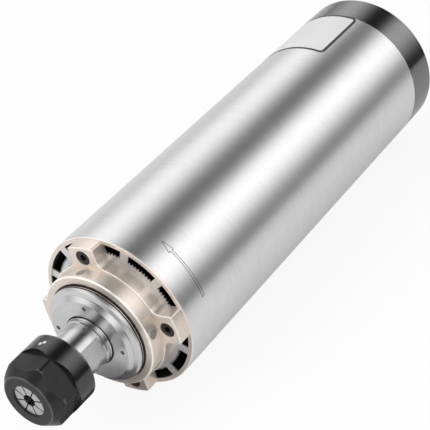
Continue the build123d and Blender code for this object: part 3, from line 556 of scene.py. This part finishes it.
cageLook = {
    "metallic": 0.0, "dark": (0.42, 0.28, 0.15), "bright": (0.52, 0.36, 0.2),
    "roughness": 0.45, "roughSpread": 0.08,
    "scale": 2200.0, "smudgeScale": 160.0, "smudge": 0.05, "depth": 0.00002,
}
dress(grainFinish("cageMoulding", cageLook), "front_bearing_cages", "rear_bearing_cages")

rubberLook = {
    "metallic": 0.0, "dark": (0.015, 0.015, 0.015), "bright": (0.025, 0.025, 0.025),
    "roughness": 0.7, "roughSpread": 0.08,
    "scale": 2200.0, "smudgeScale": 200.0, "smudge": 0.05, "depth": 0.00002,
}
dress(grainFinish("sealRubber", rubberLook), "cap_seal_ring", "motor_lead")

# Bearings, spring and hardware

bearingLook = {
    "metallic": 1.0, "dark": (0.62, 0.63, 0.65), "bright": (0.78, 0.79, 0.81),
    "roughness": 0.14, "roughSpread": 0.04,
    "density": 6000.0, "sweep": 1.0, "smudgeScale": 160.0, "smudge": 0.05, "depth": 0.000004,
}
dress(turnedFinish("groundBearing", bearingLook), "front_bearing_outer_rings", "front_bearing_inner_rings",
      "rear_bearing_outer_rings", "rear_bearing_inner_rings", "preload_spring")

ballLook = {
    "metallic": 1.0, "dark": (0.74, 0.75, 0.77), "bright": (0.84, 0.85, 0.87),
    "roughness": 0.06, "roughSpread": 0.02,
    "scale": 3000.0, "smudgeScale": 400.0, "smudge": 0.06, "depth": 0.000002,
}
dress(grainFinish("polishedBalls", ballLook), "front_bearing_balls", "rear_bearing_balls")

zincLook = {
    "metallic": 1.0, "dark": (0.50, 0.53, 0.58), "bright": (0.66, 0.68, 0.72),
    "roughness": 0.3, "roughSpread": 0.08,
    "scale": 1500.0, "smudgeScale": 250.0, "smudge": 0.08, "depth": 0.00001,
}
dress(grainFinish("zincPlate", zincLook), "cover_standoffs", "fan_washer", "fan_nut")

brassLook = {
    "metallic": 1.0, "dark": (0.60, 0.44, 0.20), "bright": (0.76, 0.58, 0.28),
    "roughness": 0.28, "roughSpread": 0.06,
    "density": 4000.0, "sweep": 1.2, "smudgeScale": 120.0, "smudge": 0.08, "depth": 0.000008,
}
dress(turnedFinish("turnedBrass", brassLook), "balance_rings")

nickelLook = {
    "metallic": 1.0, "dark": (0.60, 0.59, 0.56), "bright": (0.74, 0.73, 0.70),
    "roughness": 0.2, "roughSpread": 0.05,
    "density": 4200.0, "sweep": 1.2, "smudgeScale": 160.0, "smudge": 0.06, "depth": 0.000006,
}
dress(turnedFinish("nickelPlate", nickelLook), "socket_shell", "socket_nut")

giltLook = {
    "metallic": 1.0, "dark": (0.78, 0.58, 0.24), "bright": (0.90, 0.70, 0.34),
    "roughness": 0.18, "roughSpread": 0.05,
    "scale": 2600.0, "smudgeScale": 400.0, "smudge": 0.06, "depth": 0.000004,
}
dress(grainFinish("giltPins", giltLook), "socket_pins")

# Laminations and winding

laminationLook = {
    "metallic": 0.8, "edge": (0.06, 0.06, 0.065), "dark": (0.22, 0.23, 0.25),
    "bright": (0.36, 0.37, 0.40),
    "roughness": 0.42, "roughSpread": 0.06,
    "pitch": 0.0005, "depth": 0.00006,
}


def sheetFinish(name, look):
    material, tree, shader, place = startMaterial(name, look)
    stack = useGroup(tree, sheets, Vector=place, Pitch=look["pitch"])
    colour = mixColour(tree, stack["Tone"], look["dark"], look["bright"])
    tree.links.new(mixColour(tree, stack["Edge"], colour, look["edge"]), shader.inputs["Base Color"])
    tree.links.new(roughFrom(tree, stack["Tone"], look), shader.inputs["Roughness"])
    bumpFrom(tree, shader, mathNode(tree, "SUBTRACT", 1.0, stack["Edge"]), look["depth"])
    return material


dress(sheetFinish("stackedSheets", laminationLook), "stator_core", "rotor_core")

windingLook = {
    "metallic": 0.75, "edge": (0.10, 0.035, 0.012), "dark": (0.52, 0.22, 0.08),
    "bright": (0.78, 0.38, 0.16),
    "roughness": 0.3, "roughSpread": 0.06,
    "pitch": 0.0008, "depth": 0.0002, "coat": 0.4, "gapRange": (0.1, 0.5),
}


def wireFinish(name, look):
    material, tree, shader, place = startMaterial(name, look)
    laid = useGroup(tree, wires, Vector=place, Pitch=look["pitch"])
    colour = mixColour(tree, laid["Tone"], look["dark"], look["bright"])
    gap = spread(tree, laid["Crown"], 1.0, 0.0, *look["gapRange"])
    tree.links.new(mixColour(tree, gap, colour, look["edge"]), shader.inputs["Base Color"])
    tree.links.new(roughFrom(tree, laid["Tone"], look), shader.inputs["Roughness"])
    bumpFrom(tree, shader, laid["Crown"], look["depth"])
    return material


dress(wireFinish("enamelledWire", windingLook), "stator_winding")
print("nodes dressed")


# New pieces


def clearSelection():
    if bpy.context.object and bpy.context.object.mode != "OBJECT":
        bpy.ops.object.mode_set(mode="OBJECT")
    for item in bpy.context.view_layer.objects:
        item.select_set(False)


def activate(item):
    clearSelection()
    item.select_set(True)
    bpy.context.view_layer.objects.active = item


def applyPlace(item):
    activate(item)
    bpy.ops.object.transform_apply(location=True, rotation=True, scale=True)


def selectWhere(item, kind, test):  # leaves edit mode on, with the matching faces or corners selected
    activate(item)
    bpy.ops.object.mode_set(mode="EDIT")
    bpy.context.tool_settings.mesh_select_mode = (kind == "VERT", False, kind == "FACE")
    bpy.ops.mesh.select_all(action="DESELECT")
    bpy.ops.object.mode_set(mode="OBJECT")
    if kind == "FACE":
        for face in item.data.polygons:
            face.select = test(face.center)
    else:
        for vertex in item.data.vertices:
            vertex.select = test(vertex.co)
    bpy.ops.object.mode_set(mode="EDIT")


def leaveEdit():
    bpy.ops.object.mode_set(mode="OBJECT")


def applyModifier(item, modifier):
    activate(item)
    bpy.ops.object.modifier_apply(modifier=modifier.name)


def reachAlongX(item):
    places = [vertex.co.x for vertex in item.data.vertices]
    return min(places), max(places)


def sliceFlat(item, spacing):  # cuts across a flat piece, so that it can bend
    low, high = reachAlongX(item)
    count = int((high - low) / spacing)
    activate(item)
    bpy.ops.object.mode_set(mode="EDIT")
    for step in range(1, count):
        bpy.ops.mesh.select_all(action="SELECT")
        place = low + (high - low) * step / count
        bpy.ops.mesh.bisect(plane_co=(place, 0, 0), plane_no=(1, 0, 0))
    leaveEdit()


def thicken(item, thickness):
    thick = item.modifiers.new("thickness", "SOLIDIFY")
    thick.thickness = thickness
    thick.offset = 1.0
    applyModifier(item, thick)


def wrapOnTube(item, radius, middleAngle, along):
    # the flat piece has its arc along X, turned the other way, its outer face to -Y
    # and the spindle's axis along Z
    low, high = reachAlongX(item)
    bend = item.modifiers.new("bend", "SIMPLE_DEFORM")
    bend.deform_method = "BEND"
    bend.deform_axis = "Z"
    bend.angle = (high - low) / radius
    applyModifier(item, bend)
    turn = math.radians(middleAngle)
    outward = Vector((math.cos(turn), 0, math.sin(turn)))
    tangent = Vector((-math.sin(turn), 0, math.cos(turn)))
    axes = Matrix((-tangent, -outward, Vector((0, 1, 0)))).transposed().to_4x4()
    item.matrix_world = Matrix.Translation((0, along, 0)) @ axes @ Matrix.Translation((0, -radius, 0))
    applyPlace(item)


# Blank label near the rear, pale with a dark border, wrapped round the tube

labelLook = {
    "front": 0.1787, "rear": 0.2180, "lowAngle": 87.0, "highAngle": 187.0, "corner": 0.003, "cornerSteps": 5,
    "border": 0.0015, "slice": 0.0015, "thickness": 0.00006, "tubeRadius": 0.04, "smoothAngle": 40.0,
    "metallic": 0.0, "dark": (0.66, 0.66, 0.665), "bright": (0.72, 0.72, 0.725),
    "roughness": 0.42, "roughSpread": 0.05,
    "scale": 1200.0, "smudgeScale": 60.0, "smudge": 0.08, "depth": 0.000004,
}
borderLook = {
    "metallic": 0.0, "dark": (0.022, 0.022, 0.023), "bright": (0.034, 0.034, 0.035),
    "roughness": 0.4, "roughSpread": 0.05,
    "scale": 1800.0, "smudgeScale": 90.0, "smudge": 0.05, "depth": 0.000004,
}


def makeLabel(look):
    arc = math.radians(look["highAngle"] - look["lowAngle"]) * look["tubeRadius"]
    width = look["rear"] - look["front"]
    clearSelection()
    bpy.ops.mesh.primitive_plane_add(size=1.0, rotation=(math.pi / 2, 0, 0))
    item = bpy.context.object
    item.name = "blank_label"
    item.scale = (arc, width, 1)
    applyPlace(item)
    selectWhere(item, "VERT", lambda place: True)
    bpy.ops.mesh.bevel(offset=look["corner"], segments=look["cornerSteps"], affect="VERTICES",
                       clamp_overlap=False)
    bpy.ops.mesh.select_all(action="SELECT")
    bpy.ops.mesh.inset(thickness=look["border"], depth=0)
    leaveEdit()
    item.data.materials.append(grainFinish("labelBorder", borderLook))
    item.data.materials.append(grainFinish("labelFace", look))
    for face in item.data.polygons:
        face.material_index = 1 if face.area > arc * width / 2 else 0
    sliceFlat(item, look["slice"])
    thicken(item, look["thickness"])
    middle = (look["lowAngle"] + look["highAngle"]) / 2
    wrapOnTube(item, look["tubeRadius"], middle, (look["front"] + look["rear"]) / 2)
    bpy.ops.object.shade_smooth_by_angle(angle=math.radians(look["smoothAngle"]))
    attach(item, "housing")


makeLabel(labelLook)
print("label made")


# Arrow drawn in outline on the tube, showing the way that the spindle turns

arrowLook = {
    "corners": {  # angle round the tube, and place along it in millimetres
        "tailFront": (25.0, 13.2), "tailRear": (25.4, 14.7), "neckFront": (60.7, 13.85),
        "neckRear": (60.7, 14.95), "barbFront": (61.0, 12.7), "barbRear": (60.8, 15.95), "tip": (69.5, 14.86),
    },
    "strokes": [
        ("tailFront", "tailRear"), ("tailFront", "neckFront"), ("tailRear", "neckRear"),
        ("neckFront", "barbFront"), ("neckRear", "barbRear"), ("barbFront", "tip"), ("barbRear", "tip"),
    ],
    "line": 0.00026, "slice": 0.0012, "thickness": 0.00002, "tubeRadius": 0.04,
    "metallic": 0.2, "dark": (0.045, 0.045, 0.045), "bright": (0.08, 0.08, 0.08),
    "roughness": 0.5, "roughSpread": 0.05,
    "scale": 2500.0, "smudgeScale": 200.0, "smudge": 0.05, "depth": 0.000004,
}


def makeArrow(look):
    angles = [corner[0] for corner in look["corners"].values()]
    middle = (min(angles) + max(angles)) / 2
    along = look["corners"]["tip"][1] * millimetre
    parts = []
    for first, second in look["strokes"]:
        ends = []
        for angle, y in (look["corners"][first], look["corners"][second]):
            arc = math.radians(middle - angle) * look["tubeRadius"]
            ends.append(Vector((arc, 0, y * millimetre - along)))
        run = ends[1] - ends[0]
        clearSelection()
        bpy.ops.mesh.primitive_plane_add(size=1.0, rotation=(math.pi / 2, 0, 0))
        part = bpy.context.object
        applyPlace(part)
        part.scale = (run.length + look["line"], 1, look["line"])
        part.rotation_euler = (0, -math.atan2(run.z, run.x), 0)
        part.location = (ends[0] + ends[1]) / 2
        applyPlace(part)
        parts.append(part)
    item = parts[0]
    clearSelection()
    for part in parts:
        part.select_set(True)
    bpy.context.view_layer.objects.active = item
    bpy.ops.object.join()
    item.name = "turning_arrow"
    sliceFlat(item, look["slice"])
    thicken(item, look["thickness"])
    wrapOnTube(item, look["tubeRadius"], middle, along)
    item.data.materials.append(grainFinish("arrowInk", look))
    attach(item, "housing")


makeArrow(arrowLook)
print("arrow made")


# Threads, which the solids leave plain

noseThreadLook = {
    "name": "nose_thread", "body": "rotor",
    "root": 0.01195, "crest": 0.01245, "pitch": 0.0015, "turns": 8, "front": -0.0535,
}
socketThreadLook = {
    "name": "socket_thread", "body": "housing",
    "root": 0.0079, "crest": 0.0082, "pitch": 0.001, "turns": 8, "front": 0.2402,
}
threadShape = {
    "foot": 0.86,  # times the pitch
    "top": 0.16,  # times the foot
    "steps": 48, "smoothAngle": 30.0,
}


def makeThread(look, material):
    middle = (look["root"] + look["crest"]) / 2
    clearSelection()
    bpy.ops.mesh.primitive_plane_add(size=1.0)
    item = bpy.context.object
    item.name = look["name"]
    item.scale = (look["crest"] - look["root"], look["pitch"] * threadShape["foot"], 1)
    item.location = (middle, look["front"], 0)
    applyPlace(item)
    selectWhere(item, "VERT", lambda place: place.x > middle)
    bpy.ops.transform.resize(value=(1, threadShape["top"], 1),
                             center_override=(look["crest"], look["front"], 0))
    bpy.ops.mesh.select_all(action="SELECT")
    bpy.ops.mesh.delete(type="ONLY_FACE")
    leaveEdit()
    screw = item.modifiers.new("screw", "SCREW")
    screw.axis = "Y"
    screw.angle = 2 * math.pi
    screw.screw_offset = look["pitch"]
    screw.iterations = look["turns"]
    screw.steps = threadShape["steps"]
    screw.render_steps = threadShape["steps"]
    applyModifier(item, screw)
    bpy.ops.object.mode_set(mode="EDIT")
    bpy.ops.mesh.select_all(action="SELECT")
    bpy.ops.mesh.fill_holes(sides=4)
    bpy.ops.mesh.select_all(action="SELECT")
    bpy.ops.mesh.normals_make_consistent(inside=False)
    leaveEdit()
    bpy.ops.object.shade_smooth_by_angle(angle=math.radians(threadShape["smoothAngle"]))
    item.data.materials.append(material)
    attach(item, look["body"])


makeThread(noseThreadLook, nodes["shaft"].material_slots[0].material)
makeThread(socketThreadLook, nodes["socket_shell"].material_slots[0].material)
print("threads made")


# Floor, world and studio

studioLook = {
    "floorLevel": -0.04, "floorSize": 16.0, "floorColour": (0.86, 0.86, 0.86), "floorGlow": 0.88,
    "mirrorGlow": 0.32, "mirrorLevel": 0.5, "paperRoughness": 0.9, "paperShine": 0.1, "worldLevel": 0.5,
    "tentRadius": 1.4, "tentLength": 6.0, "tentSides": 180, "tentMiddle": 0.1, "tentHem": -0.09,
    "lampLevel": 0.42, "lampSize": (0.9, 2.4), "lampDistance": 1.3, "lampAngles": (57.0, 150.0),
    "lampTarget": (0.0, 0.05, 0.0),
    "frontPlace": (-0.5, -1.2, 0.9), "frontSize": (0.9, 0.9), "frontLevel": 0.5,
    # a dark card under the nose, seen in reflections alone: painted shade
    "shadeCardPlace": (0.007, -0.028), "shadeCardSize": (0.038, 0.036), "shadeCardLift": 0.0002, "shadeCardLevel": 0.12,
}
tentLevels = [  # light round the spindle: angle from +X towards +Z, and level
    (-6.0, 0.10), (0.0, 0.08), (8.0, 0.10), (16.0, 0.24), (24.0, 0.50), (33.0, 0.86), (43.0, 1.18),
    (54.0, 1.35), (64.0, 1.25), (73.0, 0.82), (82.0, 0.30), (91.0, 0.07), (102.0, 0.07), (111.0, 0.26),
    (120.0, 0.62), (131.0, 1.0), (142.0, 1.22), (153.0, 1.12), (163.0, 0.86), (173.0, 0.62), (181.0, 0.5),
    (188.0, 0.5),
]


def seenRays(tree):  # 1 where the camera, metal or a glass looks, and 0 for the light on the object
    path = tree.nodes.new("ShaderNodeLightPath")
    seen = mathNode(tree, "MAXIMUM", path.outputs["Is Camera Ray"], path.outputs["Is Glossy Ray"])
    return mathNode(tree, "MAXIMUM", seen, path.outputs["Is Transmission Ray"])


def makeWorld(look):
    world = bpy.data.worlds.new("world")
    bpy.context.scene.world = world
    world.use_nodes = True
    tree = world.node_tree
    background = tree.nodes["Background"]
    background.inputs["Color"].default_value = (1, 1, 1, 1)
    level = spread(tree, seenRays(tree), look["worldLevel"], 1.0)
    tree.links.new(level, background.inputs["Strength"])


def makeFloor(look):
    clearSelection()
    bpy.ops.mesh.primitive_plane_add(size=look["floorSize"], location=(0, 0, look["floorLevel"]))
    floor = bpy.context.object
    floor.name = "floor"
    material, tree = newMaterial("floorPaper")
    shader = tree.nodes["Principled BSDF"]
    shader.inputs["Base Color"].default_value = (*look["floorColour"], 1)
    shader.inputs["Roughness"].default_value = look["paperRoughness"]
    shader.inputs["Specular IOR Level"].default_value = look["paperShine"]
    glow = tree.nodes.new("ShaderNodeEmission")
    mix = tree.nodes.new("ShaderNodeMixShader")
    direct = tree.nodes.new("ShaderNodeLightPath").outputs["Is Camera Ray"]
    share = spread(tree, direct, look["mirrorGlow"], look["floorGlow"])
    tree.links.new(times(tree, seenRays(tree), share), mix.inputs[0])
    tree.links.new(spread(tree, direct, look["mirrorLevel"], 1.0), glow.inputs["Strength"])
    tree.links.new(shader.outputs[0], mix.inputs[1])
    tree.links.new(glow.outputs[0], mix.inputs[2])
    tree.links.new(mix.outputs[0], tree.nodes["Material Output"].inputs["Surface"])
    floor.data.materials.append(material)


def showInMetalAlone(item):
    item.visible_camera = False
    item.visible_diffuse = False
    item.visible_transmission = False
    item.visible_shadow = False


def makeShadeCard(look):  # dark card under the nose
    # seen in reflections alone, this dark card is painted shade standing in for the shadowed floor under the
    # nose
    clearSelection()
    x, y = look["shadeCardPlace"]
    bpy.ops.mesh.primitive_plane_add(size=1.0, location=(x, y, look["floorLevel"] + look["shadeCardLift"]))
    shadeCard = bpy.context.object
    shadeCard.name = "noseShadeCard"
    shadeCard.scale = (*look["shadeCardSize"], 1)
    applyPlace(shadeCard)
    material, tree = newMaterial("shadeCardPaint")
    shader = tree.nodes["Principled BSDF"]
    shader.inputs["Base Color"].default_value = (look["shadeCardLevel"], look["shadeCardLevel"], look["shadeCardLevel"], 1)
    shader.inputs["Roughness"].default_value = look["paperRoughness"]
    shadeCard.data.materials.append(material)
    showInMetalAlone(shadeCard)


def makeTent(look, levels):
    clearSelection()
    bpy.ops.mesh.primitive_cylinder_add(
        vertices=look["tentSides"], radius=look["tentRadius"], depth=look["tentLength"],
        end_fill_type="NOTHING", rotation=(math.pi / 2, 0, 0), location=(0, look["tentMiddle"], 0),
    )
    tent = bpy.context.object
    tent.name = "studioTent"
    applyPlace(tent)
    selectWhere(tent, "FACE", lambda place: place.z < look["tentHem"])
    bpy.ops.mesh.delete(type="FACE")
    leaveEdit()
    material, tree = newMaterial("tentCloth")
    x, _, z = splitNode(tree, tree.nodes.new("ShaderNodeTexCoord").outputs["Object"])
    turn = mathNode(tree, "ARCTAN2", z, x)
    below = mathNode(tree, "LESS_THAN", turn, -math.pi / 2)  # the angle runs on past half a turn
    turn = plus(tree, turn, times(tree, below, 2 * math.pi))
    low, high = math.radians(levels[0][0]), math.radians(levels[-1][0])
    ramp = tree.nodes.new("ShaderNodeFloatCurve")
    curve = ramp.mapping.curves[0]
    scale = max(level for _, level in levels)
    curve.points[0].location = (0.0, levels[0][1] / scale)
    curve.points[1].location = (1.0, levels[-1][1] / scale)
    for angle, level in levels[1:-1]:
        curve.points.new((math.radians(angle) - low) / (high - low), level / scale)
    ramp.mapping.update()
    tree.links.new(spread(tree, turn, 0.0, 1.0, low, high), ramp.inputs["Value"])
    glow = tree.nodes.new("ShaderNodeEmission")
    tree.links.new(times(tree, ramp.outputs[0], scale), glow.inputs["Strength"])
    tree.links.new(glow.outputs[0], tree.nodes["Material Output"].inputs["Surface"])
    tent.data.materials.append(material)
    showInMetalAlone(tent)


def makeLamp(name, place, target, size, level):
    lamp = bpy.data.lights.new(name, "AREA")
    lamp.shape = "RECTANGLE"
    lamp.size, lamp.size_y = size
    lamp.energy = level * math.pi ** 2 * (place - target).length ** 2
    item = bpy.data.objects.new(name, lamp)
    bpy.context.scene.collection.objects.link(item)
    item.location = place
    item.rotation_euler = (target - place).to_track_quat("-Z", "Y").to_euler()
    item.visible_camera = False
    item.visible_glossy = False
    print(name, "placed")


def makeLamps(look):
    middle = Vector(look["lampTarget"])
    for angle in look["lampAngles"]:
        turn = math.radians(angle)
        away = Vector((math.cos(turn), 0, math.sin(turn))) * look["lampDistance"]
        makeLamp("sideSoftbox", middle + away, middle, look["lampSize"], look["lampLevel"])
    front = Vector(look["frontPlace"])
    makeLamp("frontSoftbox", front, Vector((0, 0, 0)), look["frontSize"], look["frontLevel"])


makeWorld(studioLook)
makeFloor(studioLook)
makeShadeCard(studioLook)
makeTent(studioLook, tentLevels)
makeLamps(studioLook)
print("studio built")
